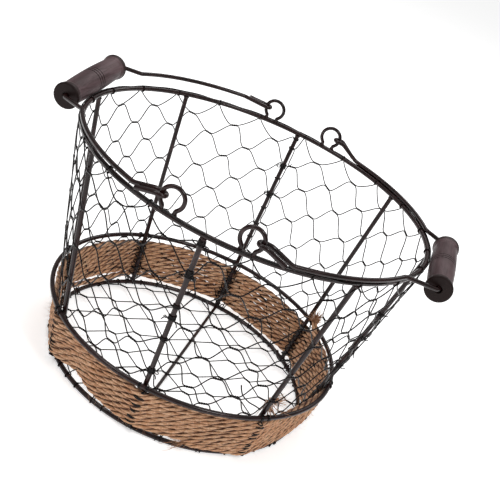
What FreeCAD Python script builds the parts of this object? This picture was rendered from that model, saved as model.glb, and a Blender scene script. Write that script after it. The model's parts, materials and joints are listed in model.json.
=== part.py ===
"""Round wire egg collecting basket with two folding bails, netting walls and a jute-wound base.

Millimetres, +Z up. The origin is the middle of the footprint, on the surface that the basket
stands on. +X points to the right-hand wooden grip and +Y to the back pair of eyelets.
"""
import FreeCAD, Part
import math
import os

V = FreeCAD.Vector

# ---- driving dimensions -------------------------------------------------------------------

RIM_R = 148.0            # rim ring, wire centreline radius
RIM_Z = 192.0            # rim ring, wire centreline height
MIDDLE_R = 128.6
MIDDLE_Z = 49.0
BOTTOM_R = 116.3
FRAME_WIRE = 4.0         # wire diameter of the rings and posts
BASE_BAR_WIRE = 3.0
POST_COUNT = 8
WELD_SINK = 0.5          # how far a welded wire end melts into its neighbour

NETTING = 0.7            # wire diameter of the netting, so its sheet thickness
NETTING_FIT = 0.05       # slack between the netting and the posts
NETTING_TOP_R = 150.0    # inside of the netting where it meets the outside of the rim
NETTING_TOP_DROP = 0.5
NETTING_BEND_Z = 46.0    # below this height the rope pulls the netting flat between posts
NETTING_HEM_Z = 4.3
SEAM_GAP = 0.2           # half the gap between the two netting halves at their seams
FLOOR_NETTING_R = 115.5
FLOOR_NETTING_Z = 3.4

ROPE = 4.55              # jute rope diameter
ROPE_OFFSET = 5.35       # rope centreline outside the line that joins two post centres
ROPE_FIRST_Z = 6.5       # lowest course, clear above the bottom ring
ROPE_LAST_Z = 44.3       # highest course, clear below the middle ring
ROPE_START_BAY = 6       # the rope starts half-way along this bay, counted from post_1
ROPE_CORNERS = 66        # posts that the rope goes round: eight turns and a quarter

LASHING_WIRE = 1.2
LASHING_CROSSINGS = 7
LASHING_HALF_WIDTH = 5.0
LASHING_BEND = 1.2
LASHING_CREST = 8.6      # distance outside the post centre where the lashing crosses the rope
LASHING_EDGE = 7.2       # the same at the ends of each crossing

TIE_WIRE = 1.0
TIE_R = 3.45             # centreline radius of a tie round a post
TIE_PITCH = 1.15
TIE_TURNS = 3
SEAM_POSTS = {"back": 2, "front": 6}
SEAM_TIE_HEIGHTS = {"back": (158.0, 128.0), "front": (185.0, 157.0, 118.0, 64.0)}

EYELET_X = 29.6
EYELET_RISE = 11.8       # centre of the eyelet's loop above the rim centreline
EYELET_R = 8.7
EYELET_WIRE = 3.2
EYELET_NECK_ANGLE = 45.0     # how far below its centre's level the loop's legs leave the circle
EYELET_LEG_X = 5.0           # its upright legs stand this far either side of its centre
EYELET_LEG_BEND_R = 2.2

BAIL_WIRE = 3.6
BAIL_ARM_R = 149.5       # the arms follow the rim just outside its centreline
BAIL_BEND_R = 4.5        # bends at the shoulders and beside the grip
HOOK_R = 3.8             # bail hook round the eyelet's wire
TAIL_LEAD = 3.0          # level wire between the hook and the bend to its cut tail
TAIL_BEND_R = 5.0
TAIL_END_R = 153.8       # the tail ends beside its arm, just outside it
TAIL_END_ANGLE = 68.5
HOOK_LEAD = 5.0          # level wire between the hook and the bend down to the arm
HOOK_BEND_R = 10.0
ARM_START_ANGLE = 62.0   # where the arm meets the rim's curve, measured from the grip's middle
ARM_LEAD = 11.0          # straight wire before it
SHOULDER_LEAD = 4.0
GRIP_HANG = 0.8          # how far the loose grip hangs below its wire

# Each bail is bent by hand, so no two arms lie alike. Heights are above the rim's centreline.
# The shoulder angle is where an arm leaves the rim's curve for its shoulder bend.
BAIL_SHAPES = {
    "left": {"arm_rise": {"back": 13.2, "front": 6.2}, "shoulder": {"back": 24.5, "front": 25.5},
             "grip_x": 160.0, "grip_shift": 5.0, "grip_rise": {"back": 12.0, "front": 2.0}},
    "right": {"arm_rise": {"back": 4.0, "front": 4.0}, "shoulder": {"back": 21.0, "front": 27.0},
              "grip_x": 162.0, "grip_shift": -3.0, "grip_rise": {"back": 0.9, "front": 0.9}},
}

GRIP_LENGTH = 91.0
GRIP_CLEAR = 2.6         # wire corner beyond the grip's end face
GRIP_LIP_R = 11.0
GRIP_NECK_R = 9.6
GRIP_BELLY_R = 10.5
GRIP_BORE_R = 3.1
GRIP_END_ROUND = 1.5
GRIP_LIP_LENGTH = 4.0
GRIP_LIP_FALL = 0.35     # how much slimmer the grip is at the foot of its lip
GRIP_NECK_AT = 37.0      # the neck's distance from the grip's middle
GROOVE_DEPTH = 0.4
GROOVE_WIDTH = 0.9
GROOVES = (-3.6, 0.0, 3.6)

# ---- values worked out from them ----------------------------------------------------------

SIDES = {"left": -1, "right": 1}
ENDS = {"back": 1, "front": -1}

BOTTOM_Z = FRAME_WIRE / 2
STEP_ANGLE = 360.0 / POST_COUNT
HALF_BAY = math.radians(STEP_ANGLE / 2)
EYELET_Y = math.sqrt(RIM_R ** 2 - EYELET_X ** 2)
EYELET_Z = RIM_Z + EYELET_RISE


def on_circle(radius, degrees, z=0.0):
    angle = math.radians(degrees)
    return V(radius * math.cos(angle), radius * math.sin(angle), z)


def post_radius(z):
    """Distance of a post's centreline from the basket's axis at height z."""
    return BOTTOM_R + (RIM_R - BOTTOM_R) * (z - BOTTOM_Z) / (RIM_Z - BOTTOM_Z)


def export(name, shape):
    shape.exportStep("parts/" + name + ".step")


# ---- wire and rope helpers ----------------------------------------------------------------

def line(start, end):
    return Part.LineSegment(start, end).toShape()


def arc(start, middle, end):
    return Part.Arc(start, middle, end).toShape()


def round_bar(edges, diameter):
    """A round bar along edges that meet tangentially."""
    path = Part.Wire(edges)
    first = edges[0]
    start = first.valueAt(first.FirstParameter)
    direction = first.tangentAt(first.FirstParameter)
    section = Part.Wire([Part.Circle(start, direction, diameter / 2).toShape()])
    return path.makePipeShell([section], True, False)


def bent_path(points, bend_radius):
    """Straight runs through the points, joined by tangent arcs of one radius."""
    edges = []
    here = points[0]
    for corner, after in zip(points[1:-1], points[2:]):
        arriving = (corner - here).normalize()
        leaving = (after - corner).normalize()
        half_turn = arriving.getAngle(leaving) / 2
        reach = bend_radius * math.tan(half_turn)
        bend_start = corner - arriving * reach
        bend_end = corner + leaving * reach
        inward = (leaving - arriving).normalize()
        middle = corner + inward * (bend_radius / math.cos(half_turn) - bend_radius)
        edges.append(line(here, bend_start))
        edges.append(arc(bend_start, middle, bend_end))
        here = bend_end
    edges.append(line(here, points[-1]))
    return edges


# ---- welded frame -------------------------------------------------------------------------

def ring(radius, z):
    return Part.makeTorus(radius, FRAME_WIRE / 2, V(0, 0, z))


def post(degrees):
    foot = on_circle(BOTTOM_R, degrees, BOTTOM_Z)
    head = on_circle(RIM_R, degrees, RIM_Z)
    along = (head - foot).normalize()
    sunk = FRAME_WIRE / 2 - WELD_SINK
    start = foot + along * sunk
    length = (head - foot).Length - 2 * sunk
    return Part.makeCylinder(FRAME_WIRE / 2, length, start, along)


def base_bar():
    """Wire across the bottom ring from the front post's foot to the back post's foot."""
    half = BOTTOM_R - FRAME_WIRE / 2 + WELD_SINK
    return Part.makeCylinder(BASE_BAR_WIRE / 2, 2 * half, V(0, -half, BOTTOM_Z), V(0, 1, 0))


def eyelet(side, end):
    """Wire loop left open at its foot, with two short legs welded to the rim's top."""
    centre = V(side * EYELET_X, end * EYELET_Y, EYELET_Z)
    angle = math.radians(EYELET_NECK_ANGLE)
    neck = V(EYELET_R * math.cos(angle), 0, -EYELET_R * math.sin(angle))
    elbow = V(EYELET_LEG_X, 0, neck.z - (neck.x - EYELET_LEG_X) / math.tan(angle))
    foot = V(EYELET_LEG_X, 0, RIM_Z + FRAME_WIRE / 2 - WELD_SINK - EYELET_Z)

    def placed(points, mirror):
        return [centre + V(mirror * point.x, 0, point.z) for point in points]

    left = placed([foot, elbow, neck], -1)
    right = placed([neck, elbow, foot], 1)
    edges = bent_path(left, EYELET_LEG_BEND_R)
    edges.append(arc(left[-1], centre + V(0, 0, EYELET_R), right[0]))
    edges += bent_path(right, EYELET_LEG_BEND_R)
    return round_bar(edges, EYELET_WIRE)


# ---- netting ------------------------------------------------------------------------------

def arc_outline(radius, z):
    edges = []
    for i in range(POST_COUNT):
        edges.append(arc(on_circle(radius, i * STEP_ANGLE, z),
                         on_circle(radius, (i + 0.5) * STEP_ANGLE, z),
                         on_circle(radius, (i + 1) * STEP_ANGLE, z)))
    return Part.Wire(edges)


def flat_outline(offset, z):
    """Straight from post to post, at the given distance outside the post centres' line."""
    radius = post_radius(z) + offset / math.cos(HALF_BAY)
    corners = [on_circle(radius, i * STEP_ANGLE, z) for i in range(POST_COUNT)]
    return Part.Wire([line(a, b) for a, b in zip(corners, corners[1:] + corners[:1])])


def netting_body(skin):
    offset = FRAME_WIRE / 2 + NETTING_FIT + skin
    bend = flat_outline(offset, NETTING_BEND_Z)
    top = arc_outline(NETTING_TOP_R + skin, RIM_Z - NETTING_TOP_DROP)
    hem = flat_outline(offset, NETTING_HEM_Z)
    upper = Part.makeLoft([bend, top], True, True)
    lower = Part.makeLoft([hem, bend], True, True)
    return upper.fuse(lower)


def netting_half(side):
    shell = netting_body(NETTING).cut(netting_body(0.0))
    size = 2 * RIM_R
    corner = V(SEAM_GAP if side > 0 else -SEAM_GAP - size, -size, 0)
    return shell.common(Part.makeBox(size, 2 * size, size, corner))


def floor_netting():
    return Part.makeCylinder(FLOOR_NETTING_R, NETTING, V(0, 0, FLOOR_NETTING_Z))


def seam_ties(end):
    """Wire ties that hold the seam of the two netting halves to a post."""
    degrees = SEAM_POSTS[end] * STEP_ANGLE
    along = (on_circle(RIM_R, degrees, RIM_Z) - on_circle(BOTTOM_R, degrees, BOTTOM_Z)).normalize()
    loops = []
    for z in SEAM_TIE_HEIGHTS[end]:
        middle = on_circle(post_radius(z), degrees, z)
        for turn in range(TIE_TURNS):
            shift = (turn - (TIE_TURNS - 1) / 2) * TIE_PITCH
            loops.append(Part.makeTorus(TIE_R, TIE_WIRE / 2, middle + along * shift, along))
    return Part.makeCompound(loops)


# ---- rope and its lashings ----------------------------------------------------------------

def rope_route():
    """Corner points of the winding: one at every post, with half a bay at both ends."""
    rise = (ROPE_LAST_Z - ROPE_FIRST_Z) / (ROPE_CORNERS + 1)
    points = []
    for i in range(ROPE_CORNERS + 2):
        z = ROPE_FIRST_Z + rise * max(0.0, min(i - 0.5, ROPE_CORNERS))
        radius = post_radius(z) + ROPE_OFFSET / math.cos(HALF_BAY)
        points.append(on_circle(radius, (ROPE_START_BAY + i) * STEP_ANGLE, z))
    points[0] = (points[0] + points[1]) * 0.5
    points[-1] = (points[-1] + points[-2]) * 0.5
    return points


def jute_rope():
    edges = bent_path(rope_route(), ROPE_OFFSET)
    rope = round_bar(edges, ROPE)
    length = sum(edge.Length for edge in edges)
    expected = length * math.pi * (ROPE / 2) ** 2
    print("rope length %.0f mm, volume %.0f of %.0f mm3" % (length, rope.Volume, expected))
    return rope


def rope_lashing(index):
    """Thin wire that zigzags down over the rope at a post, from ring to ring."""
    degrees = index * STEP_ANGLE

    def place(sideways, outside, z):
        sideways_axis = on_circle(1.0, degrees + 90.0)
        return on_circle(post_radius(z) + outside, degrees, z) + sideways_axis * sideways

    top = ROPE_LAST_Z
    step = (ROPE_LAST_Z - ROPE_FIRST_Z) / LASHING_CROSSINGS
    ring_top = MIDDLE_Z + FRAME_WIRE / 2 + LASHING_WIRE
    points = [place(0, FRAME_WIRE, ring_top), place(0, LASHING_CREST, ring_top)]
    for i in range(LASHING_CROSSINGS):
        side = LASHING_HALF_WIDTH if i % 2 else -LASHING_HALF_WIDTH
        points.append(place(side, LASHING_EDGE, top - i * step))
        points.append(place(0, LASHING_CREST, top - (i + 0.5) * step))
    points.append(place(0, LASHING_CREST, BOTTOM_Z + LASHING_WIRE))
    points.append(place(0, FRAME_WIRE / 2 + LASHING_WIRE, BOTTOM_Z))
    return round_bar(bent_path(points, LASHING_BEND), LASHING_WIRE)


# ---- bails and grips ----------------------------------------------------------------------

def grip_corner(side_name, end_name):
    """Corner of the bail's wire beside one end of the grip."""
    shape = BAIL_SHAPES[side_name]
    y = ENDS[end_name] * (GRIP_LENGTH / 2 + GRIP_CLEAR) + shape["grip_shift"]
    return V(SIDES[side_name] * shape["grip_x"], y, RIM_Z + shape["grip_rise"][end_name])


def bail_half(side_name, end_name):
    """Edges from a hook's tail along its arm, and the shoulder's corner that the arm points to."""
    side = SIDES[side_name]
    end = ENDS[end_name]
    shape = BAIL_SHAPES[side_name]
    arm_z = RIM_Z + shape["arm_rise"][end_name]
    shoulder = shape["shoulder"][end_name]
    hook_x = EYELET_X + EYELET_R

    def place(x, y, z):
        return V(side * x, end * y, z)

    def on_arm(degrees, lead=0.0):
        point = on_circle(BAIL_ARM_R, degrees, arm_z) - on_circle(lead, degrees - 90.0)
        return place(point.x, point.y, point.z)

    tail_end = on_circle(TAIL_END_R, TAIL_END_ANGLE, arm_z)
    tail = [place(tail_end.x, tail_end.y, tail_end.z),
            place(hook_x + TAIL_LEAD, EYELET_Y + HOOK_R, EYELET_Z)]
    hook_start = place(hook_x, EYELET_Y + HOOK_R, EYELET_Z)
    hook_crest = place(hook_x - HOOK_R, EYELET_Y, EYELET_Z)
    hook_end = place(hook_x, EYELET_Y - HOOK_R, EYELET_Z)
    drop_start = place(hook_x + HOOK_LEAD, EYELET_Y - HOOK_R, EYELET_Z)
    arm_start = on_arm(ARM_START_ANGLE)
    arm_middle = on_arm((ARM_START_ANGLE + shoulder) / 2)
    arm_end = on_arm(shoulder)
    edges = bent_path(tail + [hook_start], TAIL_BEND_R)
    edges.append(arc(hook_start, hook_crest, hook_end))
    drop = [hook_end, drop_start, on_arm(ARM_START_ANGLE, ARM_LEAD), arm_start]
    edges += bent_path(drop, HOOK_BEND_R)
    edges.append(arc(arm_start, arm_middle, arm_end))
    return edges, arm_end, on_arm(shoulder, -SHOULDER_LEAD)


def reversed_edges(edges):
    turned = []
    for edge in reversed(edges):
        first, last = edge.FirstParameter, edge.LastParameter
        if isinstance(edge.Curve, Part.Line):
            turned.append(line(edge.valueAt(last), edge.valueAt(first)))
        else:
            middle = edge.valueAt((first + last) / 2)
            turned.append(arc(edge.valueAt(last), middle, edge.valueAt(first)))
    return turned


def bail(side_name):
    """One carrying bail: two hooked arms joined by the wire that runs through the grip."""
    back, back_end, back_shoulder = bail_half(side_name, "back")
    front, front_end, front_shoulder = bail_half(side_name, "front")
    across = [back_end, back_shoulder, grip_corner(side_name, "back"),
              grip_corner(side_name, "front"), front_shoulder, front_end]
    return round_bar(back + bent_path(across, BAIL_BEND_R) + reversed_edges(front), BAIL_WIRE)


def grip(side_name):
    """Turned wooden grip, a revolved outline of half its length mirrored about its middle."""
    back = grip_corner(side_name, "back")
    front = grip_corner(side_name, "front")
    tilt = math.degrees(math.asin((back.z - front.z) / (back - front).Length))
    half = GRIP_LENGTH / 2
    diagonal = GRIP_END_ROUND * (1 - math.sqrt(0.5))
    lip_y = half - GRIP_END_ROUND
    lip_foot = half - GRIP_LIP_LENGTH

    belly_r = (GRIP_NECK_AT ** 2 + (GRIP_BELLY_R - GRIP_NECK_R) ** 2) / (
        2 * (GRIP_BELLY_R - GRIP_NECK_R))

    def at(radius, y):
        return V(radius, y, 0)

    def belly(y):
        return at(GRIP_BELLY_R - belly_r + math.sqrt(belly_r ** 2 - y ** 2), y)

    edges = [
        line(at(GRIP_BORE_R, -half), at(GRIP_LIP_R - GRIP_END_ROUND, -half)),
        arc(at(GRIP_LIP_R - GRIP_END_ROUND, -half), at(GRIP_LIP_R - diagonal, -half + diagonal),
            at(GRIP_LIP_R, -lip_y)),
        arc(at(GRIP_LIP_R, -lip_y), at(GRIP_LIP_R - GRIP_LIP_FALL, -lip_foot), belly(-GRIP_NECK_AT)),
    ]
    here = -GRIP_NECK_AT
    for groove in GROOVES:
        near = groove - GROOVE_WIDTH / 2
        far = groove + GROOVE_WIDTH / 2
        edges.append(arc(belly(here), belly((here + near) / 2), belly(near)))
        edges.append(arc(belly(near), at(GRIP_BELLY_R - GROOVE_DEPTH, groove), belly(far)))
        here = far
    edges += [
        arc(belly(here), belly((here + GRIP_NECK_AT) / 2), belly(GRIP_NECK_AT)),
        arc(belly(GRIP_NECK_AT), at(GRIP_LIP_R - GRIP_LIP_FALL, lip_foot), at(GRIP_LIP_R, lip_y)),
        arc(at(GRIP_LIP_R, lip_y), at(GRIP_LIP_R - diagonal, half - diagonal),
            at(GRIP_LIP_R - GRIP_END_ROUND, half)),
        line(at(GRIP_LIP_R - GRIP_END_ROUND, half), at(GRIP_BORE_R, half)),
        line(at(GRIP_BORE_R, half), at(GRIP_BORE_R, -half)),
    ]
    body = Part.Face(Part.Wire(edges)).revolve(V(0, 0, 0), V(0, 1, 0), 360)
    body.rotate(V(0, 0, 0), V(1, 0, 0), tilt)
    body.translate((back + front) * 0.5 - V(0, 0, GRIP_HANG))
    return body


# ---- write every node ---------------------------------------------------------------------

os.makedirs("parts", exist_ok=True)

export("rim_ring", ring(RIM_R, RIM_Z))
export("middle_ring", ring(MIDDLE_R, MIDDLE_Z))
export("bottom_ring", ring(BOTTOM_R, BOTTOM_Z))
export("base_bar", base_bar())
for index in range(POST_COUNT):
    export("post_%d" % (index + 1), post(index * STEP_ANGLE))
    export("rope_lashing_%d" % (index + 1), rope_lashing(index))
for side_name, side in SIDES.items():
    export("eyelet_back_" + side_name, eyelet(side, ENDS["back"]))
    export("eyelet_front_" + side_name, eyelet(side, ENDS["front"]))
    export("bail_" + side_name, bail(side_name))
    export("grip_" + side_name, grip(side_name))
    export("netting_" + side_name, netting_half(side))
export("floor_netting", floor_netting())
for end in ("back", "front"):
    export("seam_ties_" + end, seam_ties(end))
export("jute_rope", jute_rope())
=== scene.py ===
"""Looks of the egg collecting basket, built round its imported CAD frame. Metres, +Z up."""
import json
import math

import bpy
import numpy as np
from mathutils import Matrix, Vector


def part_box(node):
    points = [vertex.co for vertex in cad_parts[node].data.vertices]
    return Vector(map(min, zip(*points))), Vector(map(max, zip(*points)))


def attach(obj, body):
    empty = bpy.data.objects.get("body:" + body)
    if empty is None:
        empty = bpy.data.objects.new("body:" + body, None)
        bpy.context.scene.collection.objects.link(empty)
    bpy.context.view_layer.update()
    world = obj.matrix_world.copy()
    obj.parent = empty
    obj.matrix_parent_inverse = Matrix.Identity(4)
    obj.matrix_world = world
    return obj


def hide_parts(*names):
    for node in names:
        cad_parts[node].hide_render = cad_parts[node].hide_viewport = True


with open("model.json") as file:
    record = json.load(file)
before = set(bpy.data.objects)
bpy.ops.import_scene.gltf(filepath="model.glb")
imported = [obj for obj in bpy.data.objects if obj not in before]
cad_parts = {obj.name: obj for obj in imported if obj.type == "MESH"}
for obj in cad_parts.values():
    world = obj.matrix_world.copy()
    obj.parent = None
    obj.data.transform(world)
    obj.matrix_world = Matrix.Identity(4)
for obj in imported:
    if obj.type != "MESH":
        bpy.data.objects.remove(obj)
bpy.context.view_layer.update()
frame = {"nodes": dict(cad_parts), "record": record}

MM = 0.001
FULL_TURN = 2 * math.pi

# ---- sizes, read from the frame where it has them -----------------------------------------


def ring_size(node):
    """Centreline radius, centreline height and wire radius of a round wire ring."""
    low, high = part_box(node)
    wire = (high[2] - low[2]) / 2
    return (high[1] - low[1]) / 2 - wire, (low[2] + high[2]) / 2, wire


RIM_R, RIM_Z, WIRE = ring_size("rim_ring")
MIDDLE_R, MIDDLE_Z, _ = ring_size("middle_ring")
FOOT_R, FOOT_Z, _ = ring_size("bottom_ring")
ROPE_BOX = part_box("jute_rope")

POSTS = 8
BAY = FULL_TURN / POSTS

NETTING_WIRE = 0.53 * MM         # radius of the netting's wire
NETTING_LIFT = 2.8 * MM          # netting outside the line that joins two post centres
NETTING_PRESS = 0.4 * MM         # how far the rope's fibres take the netting in
NETTING_COLUMNS = 22
NETTING_ROWS = 11
ROW_PITCH = (RIM_Z - FOOT_Z) / (NETTING_ROWS + 1)
NETTING_BEND_Z = ROPE_BOX[1][2]  # below this the netting lies against the rope
TWIST_HALF = 3.6 * MM
TWIST_TURNS = 2
SEAM_MARGIN = math.radians(2.2)  # no twist is nearer than this to a seam post
SEAM_REACH = math.radians(0.9)   # where a wire leaves the netting to go round a seam post
POST_WRAP_R = 2.45 * MM          # centreline of a netting wire wound round a post
RIM_DROP = 1.4 * MM              # where a wire leaves the netting to go round the rim
FLOOR_COLUMN_PITCH = 42 * MM
FLOOR_COLUMNS = range(-4, 5)
FLOOR_POINT_STEP = 0.6 * MM
SHORTEST_FLOOR_WIRE = 7 * MM     # a shorter piece at the ring's edge is left out

ROPE_R = 2.3 * MM
ROPE_OFFSET = 5.35 * MM          # centreline outside the line that joins two post centres
ROPE_BOW = 3.5 * MM              # how far the rope bulges outward half-way between two posts
ROPE_FIRST_CORNER = 6            # the rope starts half a bay after this post
ROPE_CORNERS = 66
ROPE_BEND_RISE = 0.2             # share of a bay's climb that falls in the bend at its post
ROPE_STEP = 1.75 * MM            # between two points along the rope
SLACK_BAY = 3                    # the bay, after this post, where the first course hangs slack
SLACK_SAG = 1.9 * MM
RIDDEN_BAY = 5.0                 # just past this post the lower courses have ridden up
RIDDEN_RISE = 2.2 * MM
ROPE_LAY = 30 * MM               # length of one turn of its strands
STRANDS = 3
STRAND_R = 1.42 * MM
STRAND_HELIX_R = 1.22 * MM
FIBRE_TURNS = -60.0              # turns that a strand's fibres make round it in a metre
FUZZ_HAIRS = 4200
FRAYED_POST = 7                  # loose rope ends and a stray wire hang at this post

LASHING_R = 0.55 * MM
LASHING_POINT_STEP = 0.8 * MM
RING_LOOP_SIDE = 3.2 * MM        # a lashing's two loops over the middle ring, beside the post
TIE_R = 0.5 * MM
SIDE_TIES = (0.68, 0.54, 0.46, 0.36)     # shares of the height from the bottom ring to the rim
SEAM_KNOTS = {"back": (1.0, 0.0), "front": (1.0, 0.77, 0.446, 0.0)}  # shares up each seam's ties
SEAM_KNOT_INSET = 2.2 * MM       # from the end of the ties to the middle of the end knots

GRIP_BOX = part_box("grip_right")  # this grip lies level, so its box is as long as it is
GRIP_HALF = (GRIP_BOX[1][1] - GRIP_BOX[0][1]) / 2
GROOVE_PITCH = 3.6 * MM
GROOVES_REACH = 4.1 * MM         # the outer grooves' far edge, from the grip's middle
GROOVES_FADE = 4.7 * MM

EYELET_FOOT = 5.0 * MM           # an eyelet's welded feet, either side of its middle
BEAD_R = 2.75 * MM
BEAD_HEIGHT = 2.6 * MM
BEAD_RINGS = 5
BEAD_SIDES = 14


def post_radius(z):
    """Distance of the posts' centrelines from the basket's axis at height z."""
    return FOOT_R + (RIM_R - FOOT_R) * (z - FOOT_Z) / (RIM_Z - FOOT_Z)


def polar(radius, angle, z):
    return np.stack([radius * np.cos(angle), radius * np.sin(angle), z + 0 * angle], axis=-1)


# ---- mesh building ------------------------------------------------------------------------


def unit(vectors):
    return vectors / np.linalg.norm(vectors, axis=-1, keepdims=True)


def carried_normals(along):
    """A normal at every point of a path, carried along it without twisting."""
    seed = np.array([0.0, 0.0, 1.0]) if abs(along[0][2]) < 0.9 else np.array([1.0, 0.0, 0.0])
    normals = np.empty_like(along)
    normal = seed
    for i, direction in enumerate(along):
        normal = normal - direction * (normal @ direction)
        normal = normal / math.sqrt(normal @ normal)
        normals[i] = normal
    return normals


def resampled(path, step):
    """The same line with points evenly spaced along it."""
    lengths = np.linalg.norm(np.diff(path, axis=0), axis=1)
    at = np.concatenate([[0.0], np.cumsum(lengths)])
    wanted = np.linspace(0.0, at[-1], max(3, int(round(at[-1] / step)) + 1))
    return np.stack([np.interp(wanted, at, path[:, i]) for i in range(3)], axis=-1)


def smoothed(path, rounds=1):
    for _ in range(rounds):
        inner = (path[:-2] + 2 * path[1:-1] + path[2:]) / 4
        path = np.concatenate([path[:1], inner, path[-1:]])
    return path


def curve_through(points, per_span=8):
    """A smooth line through given points (Catmull-Rom)."""
    points = np.asarray(points, float)
    ends = np.concatenate([[2 * points[0] - points[1]], points, [2 * points[-1] - points[-2]]])
    t = np.linspace(0, 1, per_span, endpoint=False)[:, None]
    spans = []
    for a, b, c, d in zip(ends[:-3], ends[1:-2], ends[2:-1], ends[3:]):
        spans.append(0.5 * (2 * b + (c - a) * t + (2 * a - 5 * b + 4 * c - d) * t ** 2
                            + (3 * b - a - 3 * c + d) * t ** 3))
    spans.append(points[-1:])
    return np.concatenate(spans)


class Tubes:
    """Round bars collected into one mesh. UV u is metres along a bar, v is turns round it.

    A bar laid into a cord also gets a UV of how far each point is from the cord's centreline,
    and how squarely it faces the courses above and below; the jute's material paints shade by it.
    """

    def __init__(self):
        self.vertices = []
        self.quads = []
        self.uvs = []
        self.depths = []
        self.caps = []
        self.count = 0

    def add(self, path, radius, sides, normals=None, cord=None):
        """Adds a bar along path; cord is the centreline of the cord that it is laid into."""
        path = np.asarray(path, float)
        along = unit(np.gradient(path, axis=0))
        if normals is None:
            normals = carried_normals(along)
        else:
            normals = unit(normals - along * np.sum(normals * along, axis=1, keepdims=True))
        across = np.cross(along, normals)
        angle = np.arange(sides) * FULL_TURN / sides
        radii = np.broadcast_to(np.asarray(radius, float), (len(path),))[:, None, None]
        around = (np.cos(angle)[None, :, None] * normals[:, None, :]
                  + np.sin(angle)[None, :, None] * across[:, None, :])
        rings = path[:, None, :] + radii * around
        self.vertices.append(rings.reshape(-1, 3))
        ring = np.arange(len(path) - 1)[:, None] * sides + self.count
        here = np.arange(sides)[None, :]
        after = (here + 1) % sides
        quads = np.stack([ring + here, ring + after, ring + sides + after, ring + sides + here],
                         axis=-1)
        self.quads.append(quads.reshape(-1, 4))
        length = np.concatenate([[0], np.cumsum(np.linalg.norm(np.diff(path, axis=0), axis=1))])
        u = np.broadcast_to(length[:-1, None], quads.shape[:2])
        u_next = np.broadcast_to(length[1:, None], quads.shape[:2])
        v = np.broadcast_to(here / sides, quads.shape[:2])
        v_next = v + 1.0 / sides
        uv = np.stack([np.stack([u, v], -1), np.stack([u, v_next], -1),
                       np.stack([u_next, v_next], -1), np.stack([u_next, v], -1)], axis=2)
        self.uvs.append(uv.reshape(-1, 2))
        if cord is not None:
            from_core = rings - cord[:, None, :]
            distance = np.linalg.norm(from_core, axis=-1)
            depth = np.stack([distance / (STRAND_R + STRAND_HELIX_R),
                              np.abs(from_core[:, :, 2]) / distance], axis=-1)
            self.depths.append(depth.reshape(-1, 2)[quads.reshape(-1) - self.count])
        last = self.count + (len(path) - 1) * sides
        self.caps.append(list(range(self.count + sides - 1, self.count - 1, -1)))
        self.caps.append(list(range(last, last + sides)))
        self.count += len(path) * sides

    def make(self, name, material, body, replaces=()):
        """Turns the bars into one piece of the scene."""
        quads = np.concatenate(self.quads).tolist()
        mesh = bpy.data.meshes.new(name)
        mesh.from_pydata(np.concatenate(self.vertices).tolist(), [], quads + self.caps)
        layer = mesh.uv_layers.new(name="along")
        uv = np.concatenate(self.uvs)
        cap_loops = sum(len(cap) for cap in self.caps)
        layer.data.foreach_set("uv", np.concatenate([uv, np.zeros((cap_loops, 2))]).ravel())
        if self.depths:
            depth = np.concatenate(self.depths + [np.full((cap_loops, 2), 0.9)])
            mesh.uv_layers.new(name="depth").data.foreach_set("uv", depth.ravel())
        mesh.polygons.foreach_set("use_smooth", [True] * len(quads) + [False] * len(self.caps))
        return placed(name, mesh, material, body, replaces)


def placed(name, mesh, material, body, replaces=()):
    """Puts a finished mesh in the scene as a piece that rides on a body."""
    mesh.materials.append(material)
    mesh.update()
    piece = bpy.data.objects.new(name, mesh)
    bpy.context.scene.collection.objects.link(piece)
    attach(piece, body)
    if replaces:
        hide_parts(*replaces)
    return piece


# ---- materials ----------------------------------------------------------------------------


def srgb(red, green, blue):
    """Linear colour of an 8-bit screen colour."""
    levels = []
    for value in (red, green, blue):
        level = value / 255
        levels.append(level / 12.92 if level < 0.04045 else ((level + 0.055) / 1.055) ** 2.4)
    return (*levels, 1.0)


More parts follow.
